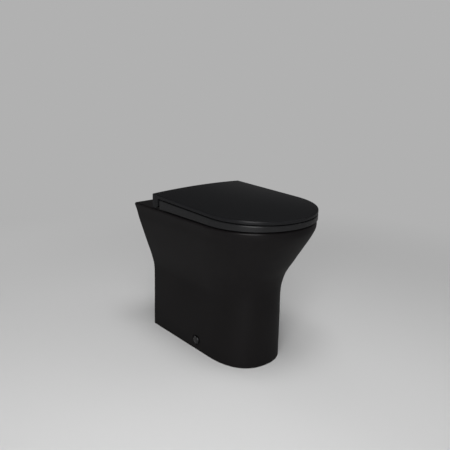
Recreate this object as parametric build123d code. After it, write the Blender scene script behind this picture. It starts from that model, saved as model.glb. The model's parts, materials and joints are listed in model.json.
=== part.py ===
from build123d import *
import os
from math import cos, radians, sin

os.makedirs("parts", exist_ok=True)

# Overall sizes
projection = 520.0
rim_width = 344.0
rim_height = 426.6

# Pan casting
skirt_wall = 12.0
deck_wall = 12.0
bowl_wall = 12.0
hollow_below = 5.0
rim_round = 5.0
nose_wall_extra = 8.0
rim_fill_below = 90.0
rim_fill_slope = 0.55
skin_steps = 40
hollow_steps = 20
bowl_steps = 14
side_bulge = 3.0
back_overrun = 30.0
# Skin of the pan by height: how far its side lies inside the rim's half width
side_levels = [
    (0.0, 64.9),
    (60.0, 65.9),
    (130.0, 67.6),
    (190.0, 68.2),
    (208.0, 67.3),
    (230.0, 62.6),
    (251.0, 56.4),
    (294.0, 41.3),
    (337.0, 26.8),
    (358.0, 19.8),
    (372.0, 15.0),
    (383.0, 11.7),
    (400.0, 7.4),
]
# Skin of the pan by height: how far its nose lies behind the rim's front
front_levels = [
    (0.0, 97.4),
    (35.0, 97.0),
    (70.0, 95.6),
    (110.0, 94.6),
    (150.0, 93.9),
    (184.0, 94.3),
    (222.0, 92.6),
    (260.0, 84.6),
    (310.0, 56.8),
    (350.0, 32.6),
    (375.0, 17.4),
    (394.0, 6.6),
    (410.0, 0.6),
]
nose_length_top = 178.0
nose_length_base = 136.0
nose_handle_top = 0.570
nose_handle_base = 0.66
rim_setback = 1.9
rim_side_growth = 2.2
foot_peak = 190.0
bulge_share_at_fixing = 0.9

# Rimless bowl, by height: front gap to the rim's front, rear distance from the wall, half width
rim_band_side = 40.0
rim_band_front = 45.0
bowl_rear_from_wall = 188.0
groove_low = 40.0
groove_high = 54.0
groove_depth = 5.0
band_taper = 2.0
mouth_overrun = 10.0
shell_into_deck = 4.0
cutter_overrun = 5.0
bowl_levels = [
    (350.0, 61.0, 200.0, 122.0),
    (310.0, 82.0, 226.0, 106.0),
    (280.0, 98.0, 256.0, 90.0),
    (250.0, 112.0, 282.0, 75.0),
    (220.0, 121.0, 298.0, 63.0),
    (190.0, 127.0, 311.0, 53.0),
    (160.0, 130.0, 316.0, 46.0),
    (130.0, 133.0, 317.0, 41.0),
    (105.0, 142.0, 326.0, 30.0),
    (92.0, 156.0, 340.0, 12.0),
]

# Trapway and soil spigot
trap_bore = 80.0
trap_wall = 11.0
trap_bend = 60.0
trap_angle = 65.0
trap_floor_height = 130.0
trap_weir_height = 260.0
soil_height = 180.0
soil_recess = 28.0
trap_start_from_wall = 350.0
trap_turn_from_wall = 322.0

# Flush inlet horn, slot and seal
inlet_height = 360.0
inlet_bore = 55.0
inlet_wall = 9.0
inlet_recess = 55.0
inlet_depth = 168.0
slot_width = 60.0
slot_height = 14.0
slot_overlap = 8.0
flush_pipe = 45.0
seal_length = 34.0
seal_flange = 3.0
seal_flange_wide = 66.0
seal_fit = 0.1

# Seat and lid envelope
lid_from_wall = 95.0
lid_half = 169.4
seat_drop = 13.5
lid_drop = 15.5
seat_gap = 3.3
seat_back_thick = 27.4
lid_gap = 2.7
lid_edge_thick = 10.4
lid_crown = 5.0
nose_start_from_wall = 354.0
nose_handle = 0.563

# Hinge line
axis_from_lid_back = 8.7
axis_above_deck = 28.0
post_spread = 155.0
post_offset = 35.0

# Hinge posts and fixings
gasket_thick = 1.5
disc_radius = 18.0
disc_thick = 4.0
post_radius = 11.0
arm_width = 14.0
arm_half_height = 6.5
head_radius = 8.5
bolt_radius = 3.0
bolt_head_radius = 5.0
bolt_head_height = 6.0
bolt_length = 56.0
well_radius = 5.5
well_floor = 7.0
well_cap_thick = 3.0
deck_hole = 15.0
plug_radius = 7.3
plug_bulge = 9.0
plug_length = 34.0
thread_fit = 0.05
plug_below_deck_face = 0.2
plug_gap_under_wall = 0.4
plug_taper = 4.0
plug_cone = 8.0
nut_radius = 6.5
nut_gap = 0.3
nut_skirt = 3.0
nut_cone = 6.0
nut_lip = 0.6
hex_half = 2.9
hex_start = 2.5
disc_chamfer = 1.2
socket_wall = 1.0
well_cap_brim = 2.0
well_cap_brim_thick = 1.4
well_cap_round = 1.0
hole_fit = 0.3

# Hinge line fittings
knuckle_radius = 9.0
knuckle_length = 34.0
knuckle_gap = 1.0
knuckle_end_wall = 1.0
fitting_setback = 0.5
damper_radius = 6.5
damper_length = 31.0
shaft_depth = 5.0
shaft_end_gap = 0.5
seat_key_depth = 0.3
lid_key_depth = 1.3
shaft_radius = 3.0
key_size = 5.0
pin_radius = 4.0
bush_length = 32.0
bush_end_wall = 2.0
pin_end_gap = 0.5
lid_pin_depth = 1.2
seat_pin_depth = 0.2
press_fit = 0.1
running_fit = 0.05

# Seat ring
seat_hole_half = 103.0
seat_hole_rear_from_wall = 205.0
seat_hole_front_gap = 63.0
seat_skin = 6.0
seat_hole_handle = 0.58
blank_height = 60.0
blank_overrun = 20.0
edge_reach = 1.0
seat_bar_from_axis = 27.3
seat_bar_length = 60.0
seat_round = 3.0
hole_round = 4.0
notch_half = 12.5
notch_ahead_of_post = 2.5
web_beside_notch = 2.0
web_into_bar = 2.0
boss_wall = 3.0
socket_wall_round = 2.0
disc_pocket_half = 21.5
disc_pocket_height = 5.2
pocket_ahead_of_disc = 3.0
buffer_radius = 9.0
buffer_sit = 3.0
buffer_clear = 0.2
seat_buffer_from_front = 64.0

# Lid
lid_skin = 5.5
lid_wall = 12.0
lid_back_wall = 3.5
lid_back_rise = 8.0
lid_round = 2.5
leg_reach = 25.6
leg_front = 18.8
lid_buffer_radius = 7.0
lid_boss_wall = 2.0
lid_buffer_stand = 3.0
lid_buffer_stem = 3.0
lid_buffer_clear = 0.6
lid_buffer_from_front = 82.0
boss_into_skin = 3.0
lid_web_half = 7.0
lid_web_into_skin = 5.0
crown_power = 2.2
sheet_share = 1.08
sheet_overrun = 12.0
sheet_depth = 80.0
cover_height = 90.0

# Floor fixings
fix_from_wall = 226.0
fix_height = 31.0
recess_radius = 17.0
recess_depth = 3.0
side_hole = 14.0
sleeve_fit = 0.2
sleeve_flange_radius = 9.5
sleeve_flange_thick = 1.2
cap_radius = 12.5
cap_height = 6.2
cap_wall = 1.8
screw_radius = 2.5
screw_head_radius = 4.8
screw_head_height = 2.6
screw_length = 26.0
bracket_gap = 2.0
bracket_leg_thick = 6.0
bracket_foot_thick = 5.0
bracket_foot_width = 36.0
bracket_length = 44.0
bracket_height = 48.0
floor_hole_radius = 4.5
floor_hole_inset = 22.0
bracket_round = 5.0
sleeve_setback = 1.5
drive_slot_half = 0.7
drive_slot_reach = 4.0
drive_slot_depth = 1.2
cap_round = 2.5
cap_fit = 0.2

# Places worked out from the sizes above
wall_y = projection / 2
front_y = -projection / 2
rim_half = rim_width / 2
rim_front_y = front_y + rim_setback
lid_back_y = wall_y - lid_from_wall
axis_y = lid_back_y - axis_from_lid_back
axis_z = rim_height + axis_above_deck
post_x = post_spread / 2
post_y = axis_y - post_offset
seat_low_z = rim_height + seat_gap
seat_high_z = seat_low_z + seat_back_thick
lid_low_z = seat_high_z + lid_gap
lid_edge_z = lid_low_z + lid_edge_thick
lid_length = lid_back_y - front_y
soil_y = wall_y - soil_recess
inlet_y = wall_y - inlet_recess
fix_y = wall_y - fix_from_wall


def between(low, high, share):
    """Value a share of the way from low to high."""
    return low + (high - low) * share


def d_outline(half, back, start, nose, handle, z, bulge=0.0):
    """Closed D face in a level plane: a flat back, two sides and a two-quarter nose."""
    swell = half + bulge * 4 / 3
    third = (back - start) / 3
    reach = (start - nose) * handle
    edges = [
        Line((-half, back, z), (half, back, z)),
        Bezier((half, back, z), (swell, back - third, z), (swell, start + third, z), (half, start, z)),
        Bezier((half, start, z), (half, start - reach, z), (half * handle, nose, z), (0, nose, z)),
        Bezier((0, nose, z), (-half * handle, nose, z), (-half, start - reach, z), (-half, start, z)),
        Bezier((-half, start, z), (-swell, start + third, z), (-swell, back - third, z), (-half, back, z)),
    ]
    return make_face(edges)


def oval(half, back, nose, z, handle=0.5523):
    """Closed oval face in a level plane from four quarter curves."""
    middle = (back + nose) / 2
    half_long = (back - nose) / 2
    across = half * handle
    along = half_long * handle
    edges = [
        Bezier((half, middle, z), (half, middle - along, z), (across, nose, z), (0, nose, z)),
        Bezier((0, nose, z), (-across, nose, z), (-half, middle - along, z), (-half, middle, z)),
        Bezier((-half, middle, z), (-half, middle + along, z), (-across, back, z), (0, back, z)),
        Bezier((0, back, z), (across, back, z), (half, middle + along, z), (half, middle, z)),
    ]
    return make_face(edges)


def rod(x_start, x_end, radius, y, z):
    """Round bar along X between two places."""
    length = abs(x_end - x_start)
    return Pos((x_start + x_end) / 2, y, z) * Rot(0, 90, 0) * Cylinder(radius, length)


def along_y(radius, near, far, x, z):
    """Round bar along Y between two places."""
    return Pos(x, (near + far) / 2, z) * Rot(90, 0, 0) * Cylinder(radius, far - near)


def block(x_pair, y_pair, z_pair):
    """Box between pairs of limits."""
    size = [abs(pair[1] - pair[0]) for pair in (x_pair, y_pair, z_pair)]
    middle = [(pair[0] + pair[1]) / 2 for pair in (x_pair, y_pair, z_pair)]
    return Pos(*middle) * Box(*size)


def upright(radius, low, high, x, y):
    """Round bar along Z between two heights."""
    return Pos(x, y, (low + high) / 2) * Cylinder(radius, high - low)


def save(name, *solids):
    """Write one node from its solids."""
    shape = solids[0] if len(solids) == 1 else Compound(children=list(solids))
    export_step(shape, "parts/" + name + ".step")


def solid_of(shape):
    """The single solid inside a shape."""
    return shape.solids()[0]


def smooth_value(places, values, at):
    """Value on a smooth curve through points that never swings past them."""
    at = max(places[0], min(places[-1], at))
    steps = [high - low for low, high in zip(places, places[1:])]
    rates = [(high - low) / step for low, high, step in zip(values, values[1:], steps)]
    slopes = [rates[0]]
    for before, after in zip(rates, rates[1:]):
        slopes.append(0.0 if before * after <= 0 else 2 * before * after / (before + after))
    slopes.append(rates[-1])
    index = 0
    while index < len(steps) - 1 and at > places[index + 1]:
        index += 1
    t = (at - places[index]) / steps[index]
    start = values[index] * (1 + 2 * t) * (1 - t) ** 2 + slopes[index] * steps[index] * t * (1 - t) ** 2
    end = values[index + 1] * t * t * (3 - 2 * t) + slopes[index + 1] * steps[index] * t * t * (t - 1)
    return start + end


# Pan outside and hollow
# The round on the rim's edge takes a little off the width, which the top section gives back
side_heights = [level for level, inset in side_levels] + [rim_height]
side_halves = [rim_half - inset for level, inset in side_levels] + [rim_half + rim_side_growth]
front_heights = [level for level, inset in front_levels] + [rim_height]
front_places = [rim_front_y + inset for level, inset in front_levels] + [rim_front_y]


def skin_at(z):
    """Half width at the wall and front place of the pan's skin at a height."""
    return smooth_value(side_heights, side_halves, z), smooth_value(front_heights, front_places, z)


def skin_face(z, inset=0.0, back=None, at=None):
    """D face of the pan's skin at a height, or of the hollow a wall's thickness inside it."""
    half, nose = skin_at(z)
    share = max(0.0, min(1.0, z / rim_height))
    length = between(nose_length_base, nose_length_top, share)
    handle = between(nose_handle_base, nose_handle_top, max(0.0, (z - foot_peak) / (rim_height - foot_peak)))
    bulge = side_bulge * max(0.0, 1 - abs(z - foot_peak) / foot_peak)
    rear = wall_y if back is None else back
    level = z if at is None else at
    nose_wall = inset + nose_wall_extra if inset else 0.0
    return d_outline(half - inset, rear, nose + length, nose + nose_wall, handle, level, bulge)


# The back is cut flat on the wall's plane
skin_back = wall_y + cutter_overrun
outer = loft([skin_face(rim_height * step / skin_steps, back=skin_back) for step in range(skin_steps + 1)])
outer &= block((-rim_half - rim_round, rim_half + rim_round), (front_y - rim_round, wall_y), (0, rim_height))
top_edges = outer.edges().filter_by(lambda edge: edge.center().Z > rim_height - 0.1)
outer = fillet(top_edges.sort_by(Axis.Y)[:-1], rim_round)

hollow_top = rim_height - deck_wall
hollow_rise = (hollow_top + hollow_below) / hollow_steps
hollow_levels = [hollow_rise * step - hollow_below for step in range(hollow_steps + 1)]
hollow = loft([skin_face(max(0.0, z), skirt_wall, wall_y + back_overrun, z) for z in hollow_levels])

# Bowl, with a groove under the rim for the flush
bowl_half = rim_half - rim_band_side
bowl_front_y = rim_front_y + rim_band_front
bowl_rear_y = wall_y - bowl_rear_from_wall
groove_floor = rim_height - groove_high
bowl_rows = [(groove_floor, bowl_half - band_taper, bowl_rear_y - band_taper, bowl_front_y + band_taper)]
bowl_rows += [(z, half, wall_y - rear, rim_front_y + front) for z, front, rear, half in bowl_levels]
bowl_rows.reverse()
bowl_heights = [row[0] for row in bowl_rows]
bowl_columns = [[row[column] for row in bowl_rows] for column in (1, 2, 3)]


def bowl_at(z):
    """Half width, rear and front of the bowl's inside at a height."""
    return [smooth_value(bowl_heights, column, z) for column in bowl_columns]


bowl_floor = bowl_heights[0]
bowl_rise = (groove_floor - bowl_floor) / bowl_steps
bowl_sections = [bowl_floor + bowl_rise * step for step in range(bowl_steps + 1)]
bowl_lower = loft([oval(*bowl_at(z), z) for z in bowl_sections])
bowl_mouth = oval(bowl_half, bowl_rear_y, bowl_front_y, groove_floor)
bowl_upper = extrude(bowl_mouth, amount=groove_high + mouth_overrun)
groove = extrude(
    oval(bowl_half + groove_depth, bowl_rear_y + groove_depth, bowl_front_y - groove_depth, groove_floor),
    amount=groove_high - groove_low,
)
shell_faces = []
shell_low = bowl_floor - bowl_wall
shell_rise = (hollow_top + shell_into_deck - shell_low) / (bowl_steps + 3)
for step in range(bowl_steps + 4):
    shell_z = shell_low + shell_rise * step
    half, rear, front = bowl_at(shell_z + bowl_wall / 2)
    wall = bowl_wall + rim_fill_slope * max(0.0, shell_z - rim_height + rim_fill_below)
    shell_faces.append(oval(half + wall, rear + bowl_wall, front - wall, shell_z))
bowl_shell = loft(shell_faces)

# Trapway: level run, rise, weir, fall and level spigot
rise = radians(trap_angle)
bend_rise = trap_bend * (1 - cos(rise))
up_length = (trap_weir_height - trap_floor_height - 2 * bend_rise) / sin(rise)
down_length = (trap_weir_height - soil_height - 2 * bend_rise) / sin(rise)
trap_start_y = wall_y - trap_start_from_wall
trap_turn_y = wall_y - trap_turn_from_wall
run_in = Line((trap_start_y, trap_floor_height), (trap_turn_y, trap_floor_height))
bend_up = JernArc(run_in @ 1, run_in % 1, trap_bend, trap_angle)
leg_up = Line(bend_up @ 1, (bend_up @ 1) + (bend_up % 1) * up_length)
weir = JernArc(leg_up @ 1, leg_up % 1, trap_bend, -2 * trap_angle)
leg_down = Line(weir @ 1, (weir @ 1) + (weir % 1) * down_length)
bend_out = JernArc(leg_down @ 1, leg_down % 1, trap_bend, trap_angle)
run_out = Line(bend_out @ 1, (soil_y, soil_height))
trap_edges = [run_in, bend_up, leg_up, weir, leg_down, bend_out, run_out]
trap_path = Plane.YZ * Wire([edge for curve in trap_edges for edge in curve.edges()])
trap_plane = Plane(origin=trap_path @ 0, z_dir=trap_path % 0)
trap_shell = sweep(trap_plane * Circle(trap_bore / 2 + trap_wall), path=trap_path)
trap_hole = sweep(trap_plane * Circle(trap_bore / 2), path=trap_path)
spigot_end = along_y(trap_bore / 2, soil_y - 1, soil_y + cutter_overrun, 0, soil_height)

# Inlet horn from the back, and the slot into the bowl's groove
horn_front = wall_y - inlet_depth
horn = along_y(inlet_bore / 2 + inlet_wall, horn_front - 2 * slot_overlap, inlet_y, 0, inlet_height)
horn_hole = along_y(inlet_bore / 2, horn_front, inlet_y + cutter_overrun, 0, inlet_height)
slot_z = (groove_floor, groove_floor + slot_height)
slot_y = (bowl_rear_y - groove_depth - 1, horn_front + slot_overlap)
slot = block((-slot_width / 2, slot_width / 2), slot_y, slot_z)

hollow_cut = hollow - bowl_shell - trap_shell - horn
pan = outer - hollow_cut - bowl_lower - bowl_upper - groove - trap_hole - spigot_end - horn_hole - slot

# Deck holes for the hinge bolts
for side in (-1, 1):
    hole_low = hollow_top - 2 * deck_wall
    pan -= upright(deck_hole / 2, hole_low, rim_height + cutter_overrun, side * post_x, post_y)

# Recesses and holes for the floor fixings
skirt_half, skirt_nose = skin_at(fix_height)
skirt_face = skirt_half + side_bulge * fix_height / foot_peak * bulge_share_at_fixing
recess_x = skirt_face - recess_depth
for side in (-1, 1):
    pan -= rod(side * recess_x, side * (recess_x + 4 * cutter_overrun), recess_radius, fix_y, fix_height)
    hole_start = recess_x - 2 * skirt_wall - cutter_overrun
    pan -= rod(side * hole_start, side * (recess_x + cutter_overrun), side_hole / 2, fix_y, fix_height)
pan = solid_of(pan)
save("pan", pan)

# Rubber cone in the inlet
seal_bore = flush_pipe / 2
seal_front = inlet_y - seal_length
seal = along_y(inlet_bore / 2 - seal_fit, seal_front, inlet_y, 0, inlet_height)
seal += along_y(seal_flange_wide / 2, inlet_y, inlet_y + seal_flange, 0, inlet_height)
seal_ends = (seal_front - cutter_overrun, inlet_y + seal_flange + cutter_overrun)
seal -= along_y(seal_bore, seal_ends[0], seal_ends[1], 0, inlet_height)
save("inlet_seal", solid_of(seal))

# Floor fixings on both sides
screws = []
sleeves = []
for side, name in ((-1, "left"), (1, "right")):
    inner_face = skirt_face - skirt_wall
    leg_out = inner_face - bracket_gap
    leg_in = leg_out - bracket_leg_thick
    foot_in = leg_out - bracket_foot_width
    y_pair = (fix_y - bracket_length / 2, fix_y + bracket_length / 2)
    bracket = block((side * leg_in, side * leg_out), y_pair, (0, bracket_height))
    bracket += block((side * foot_in, side * leg_out), y_pair, (0, bracket_foot_thick))
    corner = bracket.edges().filter_by(Axis.Y).sort_by_distance((side * leg_in, fix_y, bracket_foot_thick))[0]
    bracket = fillet(corner, bracket_round)
    through = (side * (leg_in - cutter_overrun), side * (leg_out + cutter_overrun))
    bracket -= rod(through[0], through[1], screw_radius + thread_fit, fix_y, fix_height)
    foot_hole_x = side * (leg_out - floor_hole_inset)
    foot_top = bracket_foot_thick + cutter_overrun
    bracket -= upright(floor_hole_radius, -cutter_overrun, foot_top, foot_hole_x, fix_y)
    save("floor_bracket_" + name, solid_of(bracket))

    sleeve_end = inner_face + sleeve_setback
    sleeve = rod(side * sleeve_end, side * recess_x, side_hole / 2 - sleeve_fit, fix_y, fix_height)
    flange_x = recess_x + sleeve_flange_thick
    sleeve += rod(side * recess_x, side * flange_x, sleeve_flange_radius, fix_y, fix_height)
    through = (side * (sleeve_end - cutter_overrun), side * (flange_x + cutter_overrun))
    sleeve -= rod(through[0], through[1], screw_radius + hole_fit, fix_y, fix_height)
    sleeves.append(solid_of(sleeve))

    head_x = flange_x + screw_head_height
    screw = rod(side * (flange_x - screw_length), side * flange_x, screw_radius, fix_y, fix_height)
    screw += rod(side * flange_x, side * head_x, screw_head_radius, fix_y, fix_height)
    slot_x = (side * (head_x - drive_slot_depth), side * (head_x + 1))
    long_y = (fix_y - drive_slot_reach, fix_y + drive_slot_reach)
    long_z = (fix_height - drive_slot_reach, fix_height + drive_slot_reach)
    thin_y = (fix_y - drive_slot_half, fix_y + drive_slot_half)
    thin_z = (fix_height - drive_slot_half, fix_height + drive_slot_half)
    screw = screw - block(slot_x, long_y, thin_z) - block(slot_x, thin_y, long_z)
    screws.append(solid_of(screw))

    cap = rod(side * recess_x, side * (recess_x + cap_height), cap_radius, fix_y, fix_height)
    rim_edge = cap.edges().filter_by(GeomType.CIRCLE).sort_by_distance((side * 500, fix_y, fix_height))[0]
    cap = fillet(rim_edge, cap_round)
    cap_inside = (side * (recess_x - 1), side * (recess_x + cap_height - cap_wall))
    cap -= rod(cap_inside[0], cap_inside[1], sleeve_flange_radius + cap_fit, fix_y, fix_height)
    save("side_cap_" + name, solid_of(cap))
save("side_screws", *screws)
save("side_sleeves", *sleeves)

# Hinge posts, gaskets, bolts, plugs, nuts and well caps
disc_low = rim_height + gasket_thick
disc_high = disc_low + disc_thick
post_top = axis_z + arm_half_height
arm_in = post_x - arm_width / 2
arm_out = post_x + arm_width / 2
key_split = post_x + socket_wall / 2
bolts = []
nuts = []
for side, name in ((-1, "left"), (1, "right")):
    x = side * post_x
    post = upright(disc_radius, disc_low, disc_high, x, post_y)
    post = chamfer(post.edges().filter_by(GeomType.CIRCLE).sort_by(Axis.Z)[-1], disc_chamfer)
    post += upright(post_radius, disc_low, post_top, x, post_y)
    post += block((side * arm_in, side * arm_out), (post_y, axis_y), (axis_z - arm_half_height, post_top))
    post += rod(side * arm_in, side * arm_out, head_radius, axis_y, axis_z)
    post -= upright(bolt_radius + hole_fit, disc_low - cutter_overrun, post_top + cutter_overrun, x, post_y)
    post -= upright(well_radius, disc_high + well_floor, post_top + cutter_overrun, x, post_y)
    # Round socket towards the pin, square socket towards the damper
    outer_round = name == "right"
    outer_pair = (key_split, arm_out + 1)
    inner_pair = (arm_in - 1, key_split - socket_wall)
    round_pair = outer_pair if outer_round else inner_pair
    square_pair = inner_pair if outer_round else outer_pair
    post -= rod(side * round_pair[0], side * round_pair[1], pin_radius + thread_fit, axis_y, axis_z)
    half_key = key_size / 2 + thread_fit
    post -= block(
        (side * square_pair[0], side * square_pair[1]),
        (axis_y - half_key, axis_y + half_key),
        (axis_z - half_key, axis_z + half_key),
    )
    save("hinge_post_" + name, solid_of(post))

    gasket = upright(disc_radius, rim_height, disc_low, x, post_y)
    gasket_ends = (rim_height - cutter_overrun, disc_low + cutter_overrun)
    gasket -= upright(bolt_radius + hole_fit, gasket_ends[0], gasket_ends[1], x, post_y)
    save("hinge_gasket_" + name, solid_of(gasket))

    head_low = disc_high + well_floor
    bolt = upright(bolt_radius, head_low - bolt_length, head_low, x, post_y)
    bolt += upright(bolt_head_radius, head_low, head_low + bolt_head_height, x, post_y)
    hex_face = Pos(x, post_y, head_low + hex_start) * RegularPolygon(hex_half, 6)
    hex_cut = extrude(hex_face, amount=cutter_overrun)
    bolts.append(solid_of(bolt - hex_cut))

    plug_top = rim_height - plug_below_deck_face
    plug_low = plug_top - plug_length
    nut_low = plug_low - nut_skirt
    nut_high = plug_low - nut_gap
    bulge_high = hollow_top - plug_gap_under_wall
    bore = bolt_radius + thread_fit
    profile = make_face(
        Polyline(
            (bore, plug_top),
            (plug_radius, plug_top),
            (plug_radius, bulge_high),
            (plug_bulge, bulge_high - plug_taper),
            (plug_bulge, plug_low + plug_taper),
            (plug_bulge - 1, plug_low),
            (nut_radius, plug_low),
            (bore, plug_low + plug_cone),
            (bore, plug_top),
        )
    )
    plug = Pos(x, post_y, 0) * revolve(Plane.XZ * profile, Axis.Z)
    save("expansion_plug_" + name, solid_of(plug))
    nut_profile = make_face(
        Polyline(
            (bore, nut_low),
            (nut_radius, nut_low),
            (nut_radius, nut_high),
            (bolt_radius + nut_lip, nut_high + nut_cone),
            (bore, nut_high + nut_cone),
            (bore, nut_low),
        )
    )
    nuts.append(solid_of(Pos(x, post_y, 0) * revolve(Plane.XZ * nut_profile, Axis.Z)))

    well_cap = upright(well_radius - press_fit, post_top - well_cap_thick, post_top, x, post_y)
    brim_top = post_top + well_cap_brim_thick
    well_cap += upright(well_radius + well_cap_brim, post_top, brim_top, x, post_y)
    cap_edge = well_cap.edges().filter_by(GeomType.CIRCLE).sort_by(Axis.Z)[-1]
    well_cap = fillet(cap_edge, well_cap_round)
    save("post_cap_" + name, solid_of(well_cap))
save("hinge_bolts", *bolts)
save("cone_nuts", *nuts)

# Knuckle places along the hinge line, from the middle outward
seat_knuckle = (arm_out + knuckle_gap, arm_out + knuckle_gap + knuckle_length)
lid_knuckle = (arm_in - knuckle_gap - knuckle_length, arm_in - knuckle_gap)


def damper(side, body_pair, shaft_from, square_to):
    """Damper body and its keyed shaft on the hinge line."""
    body = rod(side * body_pair[0], side * body_pair[1], damper_radius, axis_y, axis_z)
    body -= rod(side * shaft_from, side * square_to, shaft_radius + running_fit, axis_y, axis_z)
    inward = square_to < shaft_from
    shaft_in = shaft_from - shaft_end_gap if inward else shaft_from + shaft_end_gap
    key_start = arm_out if inward else arm_in
    shaft = rod(side * shaft_in, side * key_start, shaft_radius, axis_y, axis_z)
    half_key = key_size / 2
    key_y = (axis_y - half_key, axis_y + half_key)
    key_z = (axis_z - half_key, axis_z + half_key)
    shaft += block((side * key_start, side * square_to), key_y, key_z)
    return solid_of(body), solid_of(shaft)


seat_fitting = seat_knuckle[0] + fitting_setback
lid_fitting = lid_knuckle[1] - fitting_setback
seat_body_pair = (seat_fitting, seat_fitting + damper_length)
body, shaft = damper(-1, seat_body_pair, seat_body_pair[1] - shaft_depth, key_split + seat_key_depth)
save("seat_damper_body", body)
save("seat_damper_shaft", shaft)
lid_body_pair = (lid_fitting - damper_length, lid_fitting)
body, shaft = damper(1, lid_body_pair, lid_body_pair[0] + shaft_depth, key_split - lid_key_depth)
save("lid_damper_body", body)
save("lid_damper_shaft", shaft)

seat_bush_pair = (seat_fitting, seat_fitting + bush_length)
lid_bush_pair = (lid_fitting - bush_length, lid_fitting)
seat_bush_end = seat_bush_pair[1] - bush_end_wall
lid_bush_end = lid_bush_pair[0] + bush_end_wall
bush_bore = pin_radius + running_fit
seat_bush = rod(seat_bush_pair[0], seat_bush_pair[1], damper_radius, axis_y, axis_z)
seat_bush -= rod(seat_bush_pair[0] - 1, seat_bush_end, bush_bore, axis_y, axis_z)
save("seat_bush", solid_of(seat_bush))
lid_bush = rod(-lid_bush_pair[0], -lid_bush_pair[1], damper_radius, axis_y, axis_z)
lid_bush -= rod(-lid_bush_end, -lid_bush_pair[1] - 1, bush_bore, axis_y, axis_z)
save("lid_bush", solid_of(lid_bush))
seat_pin = rod(key_split + seat_pin_depth, seat_bush_end - pin_end_gap, pin_radius, axis_y, axis_z)
save("seat_pivot_pin", solid_of(seat_pin))
lid_pin = rod(-(key_split - lid_pin_depth), -(lid_bush_end + pin_end_gap), pin_radius, axis_y, axis_z)
save("lid_pivot_pin", solid_of(lid_pin))


# Seat and lid share one outline
def cover_outline(inset, back, z):
    """Seat and lid outline in a level plane, set in by a wall."""
    start = wall_y - nose_start_from_wall
    return d_outline(lid_half - inset, back, start, front_y + inset, nose_handle, z)


def seat_top(y):
    """Height of the seat's sloping top at a place along Y."""
    return seat_high_z - seat_drop * (lid_back_y - y) / lid_length


def wedge(lift):
    """Everything under the seat's top, moved by a lift."""
    near = lid_back_y + blank_overrun
    far = front_y - blank_overrun
    low = rim_height - blank_overrun
    profile = Polyline(
        (near, low),
        (near, seat_top(near) + lift),
        (far, seat_top(far) + lift),
        (far, low),
        (near, low),
    )
    return extrude(Plane.YZ * make_face(profile), amount=lid_half + blank_overrun, both=True)


bar_back = axis_y - seat_bar_from_axis
hole_back = wall_y - seat_hole_rear_from_wall
hole_front = front_y + seat_hole_front_gap
seat_blank = extrude(cover_outline(0, bar_back, seat_low_z), amount=blank_height) & wedge(0)
hole_outline = oval(seat_hole_half, hole_back, hole_front, rim_height, seat_hole_handle)
seat_hole = extrude(hole_outline, amount=blank_height)
under_back = bar_back - seat_bar_length
under_outline = extrude(cover_outline(seat_skin, under_back, seat_low_z - 1), amount=blank_height)
wall_half = seat_hole_half + seat_skin
wall_outline = oval(wall_half, hole_back + seat_skin, hole_front - seat_skin, rim_height, seat_hole_handle)
hole_wall = extrude(wall_outline, amount=blank_height)


def on_seat_top(edge):
    """Whether an edge lies on the seat's sloping top."""
    return edge.center().Z > seat_top(edge.center().Y) - edge_reach


def at_hole(edge):
    """Whether an edge on the seat's top runs round the hole."""
    place = edge.center()
    along = hole_front - edge_reach < place.Y < hole_back + edge_reach
    return on_seat_top(edge) and along and abs(place.X) < seat_hole_half + edge_reach


seat_blank = fillet(seat_blank.edges().filter_by(on_seat_top), seat_round)
seat = seat_blank - seat_hole
hole_edges = seat.edges().filter_by(at_hole)
seat = fillet(hole_edges, hole_round)
under = (under_outline & wedge(-seat_skin)) - hole_wall

# Buffers under the seat hang from bosses in its hollow
seat_buffer_places = [(118.0, -60.0), (82.0, front_y + seat_buffer_from_front)]
buffers = []
for side in (-1, 1):
    for across, along in seat_buffer_places:
        under -= upright(buffer_radius + boss_wall, rim_height, seat_high_z, side * across, along)
seat -= under
for side in (-1, 1):
    # Knuckle and its web
    seat += rod(side * seat_knuckle[0], side * seat_knuckle[1], knuckle_radius, axis_y, axis_z)
    web_x = (side * (post_x + notch_half + web_beside_notch), side * seat_knuckle[1])
    web_y = (bar_back - web_into_bar, axis_y)
    seat += block(web_x, web_y, (axis_z - knuckle_radius, seat_top(axis_y)))
    bore_x = (side * (seat_knuckle[0] - 0.5), side * (seat_knuckle[1] - knuckle_end_wall))
    seat -= rod(bore_x[0], bore_x[1], damper_radius + press_fit, axis_y, axis_z)
    # Notch round the post and pocket over its disc
    notch_x = (side * (post_x - notch_half), side * (post_x + notch_half))
    notch_y = (post_y - post_radius - notch_ahead_of_post, bar_back + cutter_overrun)
    seat -= block(notch_x, notch_y, (rim_height, seat_high_z + cutter_overrun))
    pocket_x = (side * (post_x - disc_pocket_half), side * (post_x + disc_pocket_half))
    pocket_y = (post_y - disc_radius - pocket_ahead_of_disc, bar_back + cutter_overrun)
    seat -= block(pocket_x, pocket_y, (rim_height, seat_low_z + disc_pocket_height))
    stem_hole = buffer_radius - socket_wall_round
    for across, along in seat_buffer_places:
        x = side * across
        seat -= upright(stem_hole, rim_height, seat_low_z + buffer_sit, x, along)
        stem = upright(stem_hole - press_fit, seat_low_z, seat_low_z + buffer_sit, x, along)
        foot = upright(buffer_radius, rim_height + buffer_clear, seat_low_z, x, along)
        buffers.append(solid_of(foot + stem))
save("seat_ring", solid_of(seat))
save("seat_buffers", *buffers)


# Lid top surface: a sloping sheet with a soft crown that dies out at the outline
def lid_top(x, y):
    """Height of the lid's top at a place."""
    along = (lid_back_y - y) / lid_length
    edge = lid_edge_z - lid_drop * along
    crown = lid_crown * (1 - (x / lid_half) ** 2) * (1 - max(0.0, along) ** crown_power)
    return edge + crown


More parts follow.
